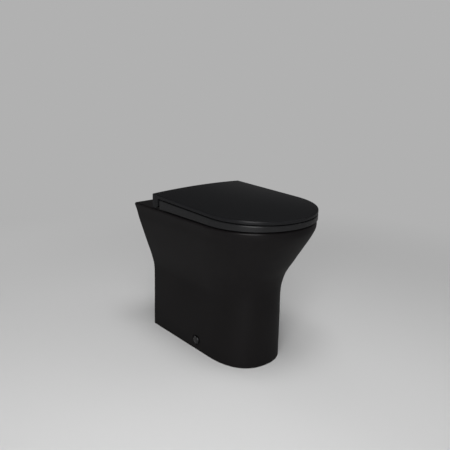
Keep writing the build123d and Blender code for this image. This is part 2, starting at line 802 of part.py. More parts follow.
def under_sheet(lift, depth):
    """Solid below the lid's top surface, moved by a lift."""
    xs = [lid_half * sheet_share * (step / 8 - 1) for step in range(17)]
    ys = [front_y - sheet_overrun + (lid_length + 2 * sheet_overrun) * step / 20 for step in range(21)]
    sheet = Face.make_surface_from_array_of_points([[(x, y, lid_top(x, y) + lift) for y in ys] for x in xs])
    return extrude(sheet, amount=depth, dir=(0, 0, -1))


def lid_low(y):
    """Height of the lid's lower edge at a place along Y."""
    return lid_low_z - seat_drop * (lid_back_y - y) / lid_length


near = lid_back_y + blank_overrun
far = front_y - blank_overrun
over_top = lid_edge_z + blank_height
over_profile = Polyline(
    (near, lid_low(near)),
    (near, over_top),
    (far, over_top),
    (far, lid_low(far)),
    (near, lid_low(near)),
)
over_wedge = extrude(Plane.YZ * make_face(over_profile), amount=lid_half + blank_overrun, both=True)
lid_prism = extrude(cover_outline(0, lid_back_y, rim_height), amount=cover_height)
lid = (lid_prism & over_wedge) & under_sheet(0, sheet_depth)


def on_lid_top(edge):
    """Whether an edge lies on the lid's crowned top."""
    place = edge.center()
    return place.Z > lid_top(place.X, place.Y) - edge_reach


lid = fillet(lid.edges().filter_by(on_lid_top), lid_round)
hollow_prism = extrude(cover_outline(lid_wall, lid_back_y - lid_back_wall, rim_height), amount=cover_height)
lid_hollow = hollow_prism & under_sheet(-lid_skin, sheet_depth)
lid -= lid_hollow
lid_inside = lid_half - lid_wall
cut_y = (axis_y - leg_front, lid_back_y + cutter_overrun)
back_cut = block((-lid_inside, lid_inside), cut_y, (rim_height, axis_z + lid_back_rise))
lid -= back_cut

# Legs at the back corners
lid_buffer_places = [(132.0, -40.0), (96.0, front_y + lid_buffer_from_front)]
lid_buffers = []
for side in (-1, 1):
    leg_x = (side * lid_inside, side * lid_half)
    leg = rod(leg_x[0], leg_x[1], leg_reach, axis_y, axis_z)
    leg_y = (axis_y - leg_front, lid_back_y)
    leg = leg & block(leg_x, leg_y, (rim_height, axis_z))
    leg += block(leg_x, leg_y, (axis_z - 0.01, lid_low(axis_y - leg_front) + lid_boss_wall))
    lid += leg
    # Knuckle with a web up into the lid
    lid += rod(side * lid_knuckle[0], side * lid_knuckle[1], knuckle_radius, axis_y, axis_z)
    knuckle_x = (side * lid_knuckle[0], side * lid_knuckle[1])
    web_y = (axis_y - lid_web_half, axis_y + lid_web_half)
    lid += block(knuckle_x, web_y, (axis_z, lid_top(0, axis_y) - lid_web_into_skin))
    bore_x = (side * (lid_knuckle[0] + knuckle_end_wall), side * (lid_knuckle[1] + 0.5))
    lid -= rod(bore_x[0], bore_x[1], damper_radius + press_fit, axis_y, axis_z)
    # Bosses and buffers that meet the seat
    stem_hole = lid_buffer_radius - socket_wall_round
    for across, along in lid_buffer_places:
        x = side * across
        meet = seat_top(along)
        stand = meet + lid_buffer_stand
        boss_top = lid_top(across, along) - boss_into_skin
        lid += upright(lid_buffer_radius + lid_boss_wall, stand, boss_top, x, along)
        lid -= upright(stem_hole, meet, stand + lid_buffer_stem, x, along)
        pad = upright(lid_buffer_radius, meet + lid_buffer_clear, stand, x, along)
        pad += upright(stem_hole - press_fit, stand, stand + lid_buffer_stem, x, along)
        lid_buffers.append(solid_of(pad))
save("lid", solid_of(lid))
save("lid_buffers", *lid_buffers)
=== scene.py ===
"""Back to wall toilet in matt black: the looks of every piece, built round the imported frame."""

import json
import logging
import math
from dataclasses import dataclass, field
from enum import Enum

import bpy
import numpy as np
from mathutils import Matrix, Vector


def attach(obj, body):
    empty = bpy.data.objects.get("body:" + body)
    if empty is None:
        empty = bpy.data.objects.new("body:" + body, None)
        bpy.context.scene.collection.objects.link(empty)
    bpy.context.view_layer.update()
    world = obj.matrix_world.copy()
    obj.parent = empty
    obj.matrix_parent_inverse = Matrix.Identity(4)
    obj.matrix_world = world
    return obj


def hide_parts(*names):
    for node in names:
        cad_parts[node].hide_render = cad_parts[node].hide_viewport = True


logging.basicConfig(level=logging.INFO, format="%(name)s: %(message)s")
LOG = logging.getLogger("back_to_wall_toilet")

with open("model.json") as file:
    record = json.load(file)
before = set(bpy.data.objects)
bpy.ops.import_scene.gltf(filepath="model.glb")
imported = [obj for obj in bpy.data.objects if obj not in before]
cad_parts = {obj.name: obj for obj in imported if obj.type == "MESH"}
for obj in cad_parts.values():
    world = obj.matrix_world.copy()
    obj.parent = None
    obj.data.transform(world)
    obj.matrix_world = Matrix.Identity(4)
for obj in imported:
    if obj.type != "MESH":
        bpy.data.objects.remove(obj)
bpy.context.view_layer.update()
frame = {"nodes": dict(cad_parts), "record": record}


class Body(Enum):
    """The moving bodies that a piece can ride on."""

    BASE = "base"
    SEAT = "seat_unit"
    LID = "lid_unit"


# ---------------------------------------------------------------- finishes


@dataclass(frozen=True)
class Finish:
    """One procedural surface finish.

    Lengths are in metres: a grain of 0.002 has marks about two millimetres apart.
    """

    name: str
    colour: tuple[float, float, float]
    roughness: float
    metallic: float = 0.0
    specular: float = 0.5
    coat: float = 0.0
    coat_roughness: float = 0.1
    tone_change: float = 0.12
    tone_size: float = 0.12
    roughness_change: float = 0.06
    grain_size: float = 0.0012
    grain_depth: float = 0.00002
    wave_size: float = 0.02
    wave_depth: float = 0.0
    brush: tuple[float, float, float] = (1.0, 1.0, 1.0)

    def material(self) -> bpy.types.Material:
        """Make the node material once and hand back the same one afterwards.

        Returns:
            The material, with tone, roughness and grain driven by noise on Object coordinates.
        """
        known = bpy.data.materials.get(self.name)
        if known is not None and known.get("made_here"):
            return known
        material = bpy.data.materials.new(self.name)
        material["made_here"] = True
        material.use_nodes = True
        tree = material.node_tree
        shader = tree.nodes["Principled BSDF"]
        shader.inputs["Metallic"].default_value = self.metallic
        shader.inputs["Specular IOR Level"].default_value = self.specular
        shader.inputs["Coat Weight"].default_value = self.coat
        shader.inputs["Coat Roughness"].default_value = self.coat_roughness
        place = tree.nodes.new("ShaderNodeTexCoord")
        turn = tree.nodes.new("ShaderNodeMapping")
        turn.inputs["Scale"].default_value = self.brush
        tree.links.new(place.outputs["Object"], turn.inputs["Vector"])
        self._tone(tree, shader, turn)
        self._relief(tree, shader, turn)
        return material

    def _noise(self, tree: bpy.types.NodeTree, turn: bpy.types.Node, size: float, detail: float) -> bpy.types.Node:
        """Noise whose marks are a given size apart.

        Args:
            tree: The material's node tree.
            turn: The mapping node that places the pattern.
            size: Distance between marks in metres.
            detail: Number of finer layers.

        Returns:
            The noise node.
        """
        noise = tree.nodes.new("ShaderNodeTexNoise")
        noise.inputs["Scale"].default_value = 1.0 / size
        noise.inputs["Detail"].default_value = detail
        tree.links.new(turn.outputs["Vector"], noise.inputs["Vector"])
        return noise

    def _tone(self, tree: bpy.types.NodeTree, shader: bpy.types.Node, turn: bpy.types.Node) -> None:
        """Let colour and roughness wander a little over the surface.

        Args:
            tree: The material's node tree.
            shader: The Principled shader.
            turn: The mapping node that places the pattern.
        """
        broad = self._noise(tree, turn, self.tone_size, 3.0)
        ramp = tree.nodes.new("ShaderNodeValToRGB")
        ramp.color_ramp.elements[0].position = 0.3
        ramp.color_ramp.elements[1].position = 0.7
        low, high = 1.0 - self.tone_change, 1.0 + self.tone_change
        ramp.color_ramp.elements[0].color = (*[min(1.0, c * low) for c in self.colour], 1.0)
        ramp.color_ramp.elements[1].color = (*[min(1.0, c * high) for c in self.colour], 1.0)
        tree.links.new(broad.outputs["Fac"], ramp.inputs["Fac"])
        tree.links.new(ramp.outputs["Color"], shader.inputs["Base Color"])
        wear = self._noise(tree, turn, self.tone_size * 0.35, 4.0)
        spread = tree.nodes.new("ShaderNodeMapRange")
        spread.inputs["From Min"].default_value = 0.3
        spread.inputs["From Max"].default_value = 0.7
        spread.inputs["To Min"].default_value = max(0.02, self.roughness - self.roughness_change)
        spread.inputs["To Max"].default_value = min(1.0, self.roughness + self.roughness_change)
        tree.links.new(wear.outputs["Fac"], spread.inputs["Value"])
        tree.links.new(spread.outputs["Result"], shader.inputs["Roughness"])

    def _relief(self, tree: bpy.types.NodeTree, shader: bpy.types.Node, turn: bpy.types.Node) -> None:
        """Give the surface its fine grain, and a slow wave where the finish has one.

        Args:
            tree: The material's node tree.
            shader: The Principled shader.
            turn: The mapping node that places the pattern.
        """
        layers = [(self.grain_size, self.grain_depth, 2.0), (self.wave_size, self.wave_depth, 0.0)]
        before = None
        for size, depth, detail in layers:
            if depth <= 0.0:
                continue
            noise = self._noise(tree, turn, size, detail)
            bump = tree.nodes.new("ShaderNodeBump")
            bump.inputs["Strength"].default_value = 1.0
            bump.inputs["Distance"].default_value = depth
            tree.links.new(noise.outputs["Fac"], bump.inputs["Height"])
            if before is not None:
                tree.links.new(before.outputs["Normal"], bump.inputs["Normal"])
            before = bump
        if before is not None:
            tree.links.new(before.outputs["Normal"], shader.inputs["Normal"])


MATT_GLAZE = Finish(
    "matt_black_glaze", (0.0053, 0.0047, 0.0049), 0.50, specular=0.0, coat=0.20, coat_roughness=0.33,
    tone_change=0.10, tone_size=0.16, roughness_change=0.03, grain_size=0.0008, grain_depth=0.000012, wave_size=0.006, wave_depth=0.00002,
)
MATT_COVER = Finish(
    "matt_black_cover", (0.0070, 0.0071, 0.0078), 0.45, specular=0.0, coat=0.28, coat_roughness=0.27,
    tone_change=0.06, tone_size=0.2, roughness_change=0.02, grain_size=0.0006, grain_depth=0.000010,
)
# Lighter copy of the lid's matt black plastic for the seat ring: the raised colour is a painted highlight that makes
# the seat's side band read brighter than the lid.
MATT_SEAT_PAINTED_HIGHLIGHT = Finish(
    "matt_black_seat_painted_highlight", (0.0094, 0.0095, 0.0100), 0.45, specular=0.0, coat=0.36, coat_roughness=0.27,
    tone_change=0.06, tone_size=0.2, roughness_change=0.02, grain_size=0.0006, grain_depth=0.000010,
)
BLACK_RUBBER = Finish(
    "black_rubber", (0.016, 0.016, 0.016), 0.72, specular=0.35, grain_size=0.0004, grain_depth=0.00002,
)
GREY_RUBBER = Finish(
    "grey_rubber", (0.060, 0.060, 0.058), 0.68, specular=0.35, grain_size=0.0004, grain_depth=0.00002,
)
POLISHED_CHROME = Finish(
    "polished_chrome", (0.62, 0.63, 0.65), 0.09, metallic=1.0, tone_change=0.03, tone_size=0.03,
    roughness_change=0.03, grain_size=0.0005, grain_depth=0.000002,
)
# Chrome for the side caps with its colour turned dark: a painted dark reflection of dim surroundings, so that the
# caps read dark with only the lamps' glint bright.
CHROME_WITH_PAINTED_DARK_REFLECTION = Finish(
    "chrome_with_painted_dark_reflection", (0.044, 0.044, 0.045), 0.12, metallic=1.0, tone_change=0.05, tone_size=0.01,
    roughness_change=0.03, grain_size=0.0005, grain_depth=0.000003,
)
PLATED_STEEL = Finish(
    "plated_steel", (0.42, 0.41, 0.39), 0.34, metallic=1.0, tone_change=0.12, tone_size=0.02,
    roughness_change=0.08, grain_size=0.0006, grain_depth=0.00001, brush=(1.0, 1.0, 4.0),
)
STAINLESS = Finish(
    "stainless_steel", (0.50, 0.50, 0.49), 0.26, metallic=1.0, tone_change=0.06, tone_size=0.01,
    roughness_change=0.06, grain_size=0.0005, grain_depth=0.000006, brush=(1.0, 1.0, 0.2),
)
WHITE_NYLON = Finish(
    "white_nylon", (0.62, 0.61, 0.57), 0.48, tone_change=0.05, tone_size=0.02, grain_size=0.0005,
    grain_depth=0.00001,
)
GREY_NYLON = Finish(
    "grey_nylon", (0.16, 0.16, 0.165), 0.44, tone_change=0.07, tone_size=0.02, grain_size=0.0005,
    grain_depth=0.00001,
)
TURNED_BRASS = Finish(
    "turned_brass", (0.58, 0.40, 0.16), 0.28, metallic=1.0, tone_change=0.10, tone_size=0.01,
    roughness_change=0.06, grain_size=0.0004, grain_depth=0.000008, brush=(1.0, 1.0, 6.0),
)


# ---------------------------------------------------------------- shared mesh tools


def dress(node: str, finish: Finish) -> None:
    """Give a CAD node its finish.

    Args:
        node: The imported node's name.
        finish: The finish that takes every material slot.
    """
    piece = frame["nodes"][node]
    if not piece.material_slots:
        piece.data.materials.append(finish.material())
    for index in range(len(piece.material_slots)):
        piece.material_slots[index].material = finish.material()
    LOG.info("dressed %s in %s", node, finish.name)


# ---------------------------------------------------------------- surfaces worked out with numpy


MM = 0.001
SLOTS = {part["node"]: part["material_slot"] for part in frame["record"]["subparts"]}
PROJECTION = 520.0
RIM_HEIGHT = 426.6
WALL_Y = PROJECTION / 2
FRONT_Y = -PROJECTION / 2


def cubic(points: tuple[tuple[float, float], ...], share: np.ndarray) -> np.ndarray:
    """Places on a cubic curve.

    Formula: the four points weighted by (1-t)^3, 3t(1-t)^2, 3t^2(1-t) and t^3.

    Args:
        points: The curve's four control points in the plan.
        share: Values of t from 0 to 1.

    Returns:
        One plan place a row.
    """
    t = share[:, None]
    ends = np.array(points)
    return (1 - t) ** 3 * ends[0] + 3 * t * (1 - t) ** 2 * ends[1] + 3 * t**2 * (1 - t) * ends[2] + t**3 * ends[3]


class Skin:
    """Closed surfaces gathered into one mesh, in millimetres until the piece is made."""

    def __init__(self) -> None:
        """Start empty."""
        self.points: list[np.ndarray] = []
        self.faces: list[np.ndarray] = []
        self.count = 0

    def add_rings(self, rings: np.ndarray, start: np.ndarray | None = None, end: np.ndarray | None = None) -> None:
        """Add one closed surface made of rings of points.

        Formula: point j of ring k joins point j+1 of the same ring and point j of ring k+1 in one
        four-sided face, and j runs round. A pole closes either end with a fan of triangles; with no
        poles the last ring joins the first. The surface is turned over when its signed volume, the
        sum of a . (b x c) / 6 over its triangles, is negative, so that it faces outwards.

        Args:
            rings: Points as an array of rings by places by three.
            start: Pole that closes the first ring.
            end: Pole that closes the last ring.
        """
        turns, places = rings.shape[:2]
        index = np.arange(turns * places).reshape(turns, places)
        if start is None:
            index = np.concatenate([index, index[:1]])
        here, after = index[:-1], index[1:]
        quads = np.stack([here, np.roll(here, -1, 1), np.roll(after, -1, 1), after], axis=-1).reshape(-1, 4)
        points = rings.reshape(-1, 3)
        fans = []
        if start is not None:
            poles = np.array([start, end], float)
            first, last = len(points), len(points) + 1
            points = np.concatenate([points, poles])
            near, far = index[0], index[-1]
            fans.append(np.stack([np.full(places, first), np.roll(near, -1), near], axis=-1))
            fans.append(np.stack([np.full(places, last), far, np.roll(far, -1)], axis=-1))
        halves = [quads[:, [0, 1, 2]], quads[:, [0, 2, 3]], *fans]
        corners = points[np.concatenate(halves)]
        volume = np.einsum("ij,ij->i", corners[:, 0], np.cross(corners[:, 1], corners[:, 2])).sum()
        for faces in (quads, *fans):
            turned = faces if volume > 0 else faces[:, ::-1]
            self.faces.append(turned + self.count)
        self.points.append(points)
        self.count += len(points)

    def add_turned(self, profile: np.ndarray, place: tuple[float, float, float], axis: str, steps: int = 64) -> None:
        """Add a turned piece: a profile carried once round a line.

        Formula: a profile point (r, h) at angle a lies h along the line and r cos a, r sin a across
        it. The first and last profile points lie on the line and become poles.

        Args:
            profile: Radius and height of each profile point, from pole to pole.
            place: Where the line starts.
            axis: "x" or "z", the line's direction; "-x" runs the other way.
            steps: Number of places round the line.
        """
        angle = np.linspace(0, 2 * np.pi, steps, endpoint=False)
        radius, height = profile[1:-1, 0][:, None], profile[1:-1, 1][:, None]
        across, up = radius * np.cos(angle), radius * np.sin(angle)
        along = height + 0 * angle
        ends = [profile[0, 1], profile[-1, 1]]
        if axis == "z":
            rings = np.stack([across, up, along], axis=-1)
            poles = [np.array([0, 0, h]) for h in ends]
        else:
            sign = -1.0 if axis == "-x" else 1.0
            rings = np.stack([sign * along, across, up], axis=-1)
            poles = [np.array([sign * h, 0, 0]) for h in ends]
        self.add_rings(rings + np.array(place), poles[0] + place, poles[1] + place)

    def piece(self, name: str, body: Body, node: str, slot: str, finish: Finish, sharp: float = 40.0) -> bpy.types.Object:
        """Make the mesh object that stands for a CAD node.

        Args:
            name: The new piece's name.
            body: The body that it rides on.
            node: The CAD node that it replaces.
            slot: The record's material slot; not used.
            finish: The piece's finish.
            sharp: Edges that turn by more degrees than this stay crisp.

        Returns:
            The piece, at the origin, with its place in its mesh.
        """
        mesh = bpy.data.meshes.new(name)
        points = np.concatenate(self.points) * MM
        sizes = np.concatenate([np.full(len(faces), faces.shape[1]) for faces in self.faces])
        loops = np.concatenate([faces.ravel() for faces in self.faces]).astype(np.int32)
        mesh.vertices.add(len(points))
        mesh.vertices.foreach_set("co", points.astype(np.float32).ravel())
        mesh.loops.add(len(loops))
        mesh.loops.foreach_set("vertex_index", loops)
        mesh.polygons.add(len(sizes))
        mesh.polygons.foreach_set("loop_start", np.concatenate([[0], np.cumsum(sizes)[:-1]]).astype(np.int32))
        mesh.polygons.foreach_set("use_smooth", np.ones(len(sizes), bool))
        mesh.update(calc_edges=True)
        mesh.validate()
        mesh.set_sharp_from_angle(angle=math.radians(sharp))
        thing = bpy.data.objects.new(name, mesh)
        bpy.context.scene.collection.objects.link(thing)
        mesh.materials.append(finish.material())
        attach(thing, body.value)
        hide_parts(node)
        LOG.info("%s stands for %s with %d faces", name, node, len(sizes))
        return thing


def rounded(corners: list[tuple[float, float, float]], steps: int = 5) -> np.ndarray:
    """Profile with rounded corners.

    Formula: at a corner with round s the profile leaves the incoming edge s before the corner and
    follows the quadratic curve (1-t)^2 a + 2t(1-t) c + t^2 b to s along the outgoing edge.

    Args:
        corners: Radius, height and round of each corner; a round of zero keeps it crisp.
        steps: Points on each round.

    Returns:
        Radius and height of each profile point.
    """
    spots = np.array([corner[:2] for corner in corners], float)
    out = [spots[0]]
    t = np.linspace(0, 1, steps)[:, None]
    for index in range(1, len(corners) - 1):
        size = corners[index][2]
        if size <= 0:
            out.append(spots[index])
            continue
        back, on = spots[index - 1] - spots[index], spots[index + 1] - spots[index]
        a = spots[index] + back / np.linalg.norm(back) * size
        b = spots[index] + on / np.linalg.norm(on) * size
        out.extend((1 - t) ** 2 * a + 2 * t * (1 - t) * spots[index] + t**2 * b)
    out.append(spots[-1])
    return np.array(out)


@dataclass(frozen=True)
class CoverShape:
    """The D outline and the sloping planes that seat and lid share."""

    half: float = 169.4
    back: float = 165.0
    nose_start: float = -94.0
    handle: float = 0.563
    seat_high: float = 457.3
    lid_low: float = 460.0
    lid_edge: float = 470.4
    low_drop: float = 13.5
    top_drop: float = 15.5
    crown: float = 5.0
    crown_power: float = 2.2

    def along(self, y: np.ndarray) -> np.ndarray:
        """Share of the lid's length from its back at a place along Y."""
        return (self.back - y) / (self.back - FRONT_Y)

    def seat_top(self, y: np.ndarray) -> np.ndarray:
        """Height of the seat's sloping top."""
        return self.seat_high - self.low_drop * self.along(y)

    def lower_edge(self, y: np.ndarray) -> np.ndarray:
        """Height of the lid's lower edge."""
        return self.lid_low - self.low_drop * self.along(y)

    def lid_top(self, x: np.ndarray, y: np.ndarray) -> np.ndarray:
        """Height of the lid's crowned top.

        Formula: the edge height less the drop times the share along, plus a crown of 5 mm times
        one less (x over the half width) squared times one less the share to the power 2.2.
        """
        share = self.along(y)
        dome = (1 - (x / self.half) ** 2) * (1 - np.maximum(0.0, share) ** self.crown_power)
        return self.lid_edge - self.top_drop * share + self.crown * dome


# ---------------------------------------------------------------- sub-assemblies


@dataclass
class LidShell:
    """The moulded lid: one wall carried round the D outline, with a leg at each back corner."""

    shape: CoverShape = CoverShape()
    wall: float = 12.0
    back_wall: float = 3.5
    skin: float = 5.5
    top_round: float = 2.5
    lip_round: float = 0.9
    inside_round: float = 2.5
    corner_round: float = 1.2
    axis: tuple[float, float] = (156.3, 454.6)
    leg_front: float = 137.5
    leg_reach: float = 25.6
    leg_draft: float = 0.6
    back_rise: float = 8.0
    knuckle: tuple[float, float] = (35.5, 69.5)
    knuckle_radius: float = 9.0
    bore_radius: float = 6.5
    buffers: tuple[tuple[float, float], ...] = ((132.0, -40.0), (96.0, -178.0))
    buffer_radius: float = 7.0

    def _half_path(self, side_inset: float, back: float, inner: bool) -> np.ndarray:
        """Plan places from the middle of the nose along the +X side to the middle of the back.

        Formula: a cubic quarter round the nose, a straight side, then the back corner. On the
        outside the corner is a small round and the leg's back face; on the inside the same number
        of places runs along the leg's inner face.

        Args:
            side_inset: How far inside the lid's outline the path lies.
            back: Place of the back line along Y.
            inner: Whether this is the hollow's wall.

        Returns:
            One plan place a row, the same number whatever the inset.
        """
        half, start, nose = self.shape.half - side_inset, self.shape.nose_start, FRONT_Y + side_inset
        reach, k = start - nose, self.shape.handle
        ends = ((0.0, nose), (half * k, nose), (half, start - reach * k), (half, start))
        quarter = cubic(ends, np.linspace(0, 1, 56)[:-1])
        side_y = np.linspace(start, self.leg_front, 26)
        leg_in = self.shape.half - self.wall
        if inner:
            leg = np.stack([np.full(17, half), np.linspace(self.leg_front + self.leg_draft, back, 17)], axis=1)
        else:
            size = self.corner_round
            turn = np.linspace(0, np.pi / 2, 6)
            run = np.stack([np.full(6, half), np.linspace(self.leg_front + self.leg_draft, back - size, 7)[:-1]], axis=1)
            bend = np.stack([half - size + size * np.cos(turn), back - size + size * np.sin(turn)], axis=1)
            rest = np.linspace(half - size, leg_in, 6)[1:]
            leg = np.concatenate([run, bend, np.stack([rest, np.full(5, back)], axis=1)])
        across = np.linspace(leg_in - self.leg_draft, 0, 22)
        middle = np.stack([across, np.full(22, back)], axis=1)
        side = np.stack([np.full(26, half), side_y], axis=1)
        return np.concatenate([quarter, side, leg, middle])

    def _ring(self, side_inset: float, back_inset: float, inner: bool) -> np.ndarray:
        """Closed plan ring: the +X half path and its mirror."""
        path = self._half_path(side_inset, self.shape.back - back_inset, inner)
        mirror = path[-2:0:-1] * np.array([-1.0, 1.0])
        return np.concatenate([path, mirror])

    def _low(self, ring: np.ndarray) -> np.ndarray:
        """Height of the lid's lower end at each place of a ring.

        Formula: the sloping lower edge along nose and sides, an arc of the leg's reach about the
        hinge line on the legs, and a level lip above the hinge along the back.
        """
        first = 55 + 26
        leg = np.zeros(len(ring), bool)
        leg[first : first + 17] = True
        back = np.zeros(len(ring), bool)
        back[first + 17 : first + 17 + 22] = True
        size = len(ring)
        leg |= np.roll(leg[::-1], 1)
        back |= np.roll(back[::-1], 1)
        assert size == 2 * (first + 39) - 2
        y = ring[:, 1]
        arc = self.axis[1] - np.sqrt(self.leg_reach**2 - (y - self.axis[0]) ** 2)
        low = self.shape.lower_edge(y)
        low = np.where(leg, arc, low)
        return np.where(back, self.axis[1] + self.back_rise, low)

    def _wall_and_skin(self, skin: Skin) -> None:
        """One closed surface: crowned top, wall, lip, inner wall and the hollow's ceiling.

        Formula: rings of the outline at a list of insets, each at the top's height, the lower
        end's height or between, with quarter rounds at the top edge, the lip and the ceiling.
        """
        shape = self.shape
        centre = np.array([0.0, -40.0])
        rings = []

        def at(ring: np.ndarray, height: np.ndarray) -> None:
            rings.append(np.concatenate([ring, height[:, None]], axis=1))

        edge = self._ring(self.top_round, self.top_round, False)
        for share in (0.04, 0.12, 0.25, 0.4, 0.55, 0.7, 0.82, 0.9, 0.95, 0.98, 0.993):
            ring = centre + (edge - centre) * share
            at(ring, shape.lid_top(ring[:, 0], ring[:, 1]))
        for angle in np.linspace(np.pi / 2, 0, 7):
            inset = self.top_round * (1 - math.cos(angle))
            ring = self._ring(inset, inset, False)
            at(ring, shape.lid_top(ring[:, 0], ring[:, 1]) - self.top_round * (1 - math.sin(angle)))
        for angle in np.linspace(0, np.pi / 2, 5):
            inset = self.lip_round * (1 - math.cos(angle))
            ring = self._ring(inset, inset, False)
            at(ring, self._low(ring) + self.lip_round * (1 - math.sin(angle)))
        for angle in np.linspace(np.pi / 2, 0, 5):
            near = self.lip_round * (1 - math.cos(angle))
            ring = self._ring(self.wall - near, self.back_wall - near, True)
            at(ring, self._low(ring) + self.lip_round * (1 - math.sin(angle)))
        for angle in np.linspace(0, np.pi / 2, 6):
            inset = self.inside_round * (1 - math.cos(angle))
            ring = self._ring(self.wall + inset, self.back_wall + inset, True)
            height = shape.lid_top(ring[:, 0], ring[:, 1]) - self.skin
            at(ring, height - self.inside_round * (1 - math.sin(angle)))
        inside = self._ring(self.wall + self.inside_round, self.back_wall + self.inside_round, True)
        for share in (0.97, 0.9, 0.75, 0.55, 0.35, 0.15, 0.05):
            ring = centre + (inside - centre) * share
            at(ring, shape.lid_top(ring[:, 0], ring[:, 1]) - self.skin)
        peak = shape.lid_top(centre[0], centre[1])
        skin.add_rings(np.array(rings), np.array([*centre, peak]), np.array([*centre, peak - self.skin]))

    def _knuckle(self, skin: Skin, side: float) -> None:
        """Turned knuckle with its bore, and the web that carries it up into the lid.

        Args:
            skin: Where the surfaces go.
            side: -1 for the left side and 1 for the right.
        """
        near, far = self.knuckle
        bore_end = near + 3.0
        profile = rounded(
            [(0, near, 0), (self.knuckle_radius, near, 0.8), (self.knuckle_radius, far, 0.8), (self.bore_radius, far, 0.4),
             (self.bore_radius, bore_end, 0), (0, bore_end, 0)]
        )
        skin.add_turned(profile, (0.0, *self.axis), "x" if side > 0 else "-x")
        middle, reach, depth = (near + far) / 2, (far - near) / 2 - 0.6, 7.0
        turn = np.linspace(0, 2 * np.pi, 48, endpoint=False)
        square = 0.16
        across = np.sign(np.cos(turn)) * np.abs(np.cos(turn)) ** square
        along = np.sign(np.sin(turn)) * np.abs(np.sin(turn)) ** square
        ceiling = float(self.shape.lid_top(np.array(side * middle), np.array(self.axis[0]))) - self.skin
        rings = []
        for height, growth in ((self.axis[1] + 3.0, 0.0), (ceiling - 2.4, 0.0), (ceiling - 1.2, 0.4), (ceiling - 0.4, 1.2), (ceiling + 0.6, 2.4)):
            x = side * (middle + across * (reach + growth * 0.2))
            y = self.axis[0] + along * (depth + min(growth, 1.2)) - 0 * x
            rings.append(np.stack([x, np.minimum(y, 165.0 - 0.6), np.full(48, height)], axis=1))
        ends = [np.array([side * middle, self.axis[0], h]) for h in (self.axis[1] + 3.0, ceiling + 0.6)]
        skin.add_rings(np.array(rings), ends[0], ends[1])

    def build(self) -> None:
        """Make the lid and its four buffers."""
        skin, pads = Skin(), Skin()
        self._wall_and_skin(skin)
        for side in (-1.0, 1.0):
            self._knuckle(skin, side)
            for across, along in self.buffers:
                x = side * across
                meet = float(self.shape.seat_top(np.array(along)))
                ceiling = float(self.shape.lid_top(np.array(x), np.array(along))) - self.skin
                stand, outer, hole = meet + 3.0, self.buffer_radius + 2.0, self.buffer_radius - 2.0
                boss = rounded(
                    [(0, ceiling + 0.8, 0), (outer + 1.6, ceiling + 0.8, 0), (outer + 1.6, ceiling + 0.1, 0),
                     (outer, ceiling - 1.4, 0.9), (outer, stand, 0.6), (hole, stand, 0.3), (hole, stand + 3.0, 0), (0, stand + 3.0, 0)]
                )
                skin.add_turned(boss, (x, along, 0.0), "z")
                pad = rounded(
                    [(0, meet + 0.6, 0), (self.buffer_radius, meet + 0.9, 1.1), (self.buffer_radius, stand, 0.3),
                     (hole - 0.05, stand, 0), (hole - 0.05, stand + 3.0, 0.5), (0, stand + 3.0, 0)]
                )
                pads.add_turned(pad, (x, along, 0.0), "z", 48)
        skin.piece("lid_shell", Body.LID, "lid", SLOTS["lid"], MATT_COVER)
        pads.piece("lid_pads", Body.LID, "lid_buffers", SLOTS["lid_buffers"], GREY_RUBBER)


@dataclass
class PanCasting:
    """The vitreous china pan with its bowl, trapway and inlet."""

    node: str = "pan"
    finish: Finish = MATT_GLAZE

    def build(self) -> None:
        """Dress the casting."""
        dress(self.node, self.finish)


@dataclass
class SeatUnit:
    """The seat ring with its buffers and hinge fittings."""

    finishes: dict[str, Finish] = field(
        default_factory=lambda: {
            # the seat ring takes the lighter copy whose colour holds a painted highlight
            "seat_ring": MATT_SEAT_PAINTED_HIGHLIGHT,
            "seat_buffers": GREY_RUBBER,
            "seat_damper_body": GREY_NYLON,
            "seat_bush": WHITE_NYLON,
        }
    )

    pad_places: tuple[tuple[float, float], ...] = ((118.0, -60.0), (82.0, -196.0))
    pad_radius: float = 9.0
    pad_clear: float = 0.2
    seat_low: float = 429.9

    def build(self) -> None:
        """Dress the seat's pieces and turn its four pads."""
        for node, finish in self.finishes.items():
            dress(node, finish)
        foot, stem = RIM_HEIGHT + self.pad_clear, self.pad_radius - 2.05
        pad = rounded(
            [(0, foot, 0), (self.pad_radius, foot + 0.3, 1.2), (self.pad_radius, self.seat_low, 0.3),
             (stem, self.seat_low, 0), (stem, self.seat_low + 3.0, 0.6), (0, self.seat_low + 3.0, 0)]
        )
        pads = Skin()
        for side in (-1.0, 1.0):
            for across, along in self.pad_places:
                pads.add_turned(pad, (side * across, along, 0.0), "z", 48)
        pads.piece("seat_pads", Body.SEAT, "seat_buffers", SLOTS["seat_buffers"], GREY_RUBBER)


@dataclass
class LidUnit:
    """The lid with its buffers and hinge fittings."""

    finishes: dict[str, Finish] = field(
        default_factory=lambda: {
            "lid": MATT_COVER,
            "lid_buffers": GREY_RUBBER,
            "lid_damper_body": GREY_NYLON,
            "lid_bush": WHITE_NYLON,
        }
    )

    def build(self) -> None:
        """Dress the lid's pieces and build its shell and pads."""
        for node, finish in self.finishes.items():
            dress(node, finish)
        LidShell().build()


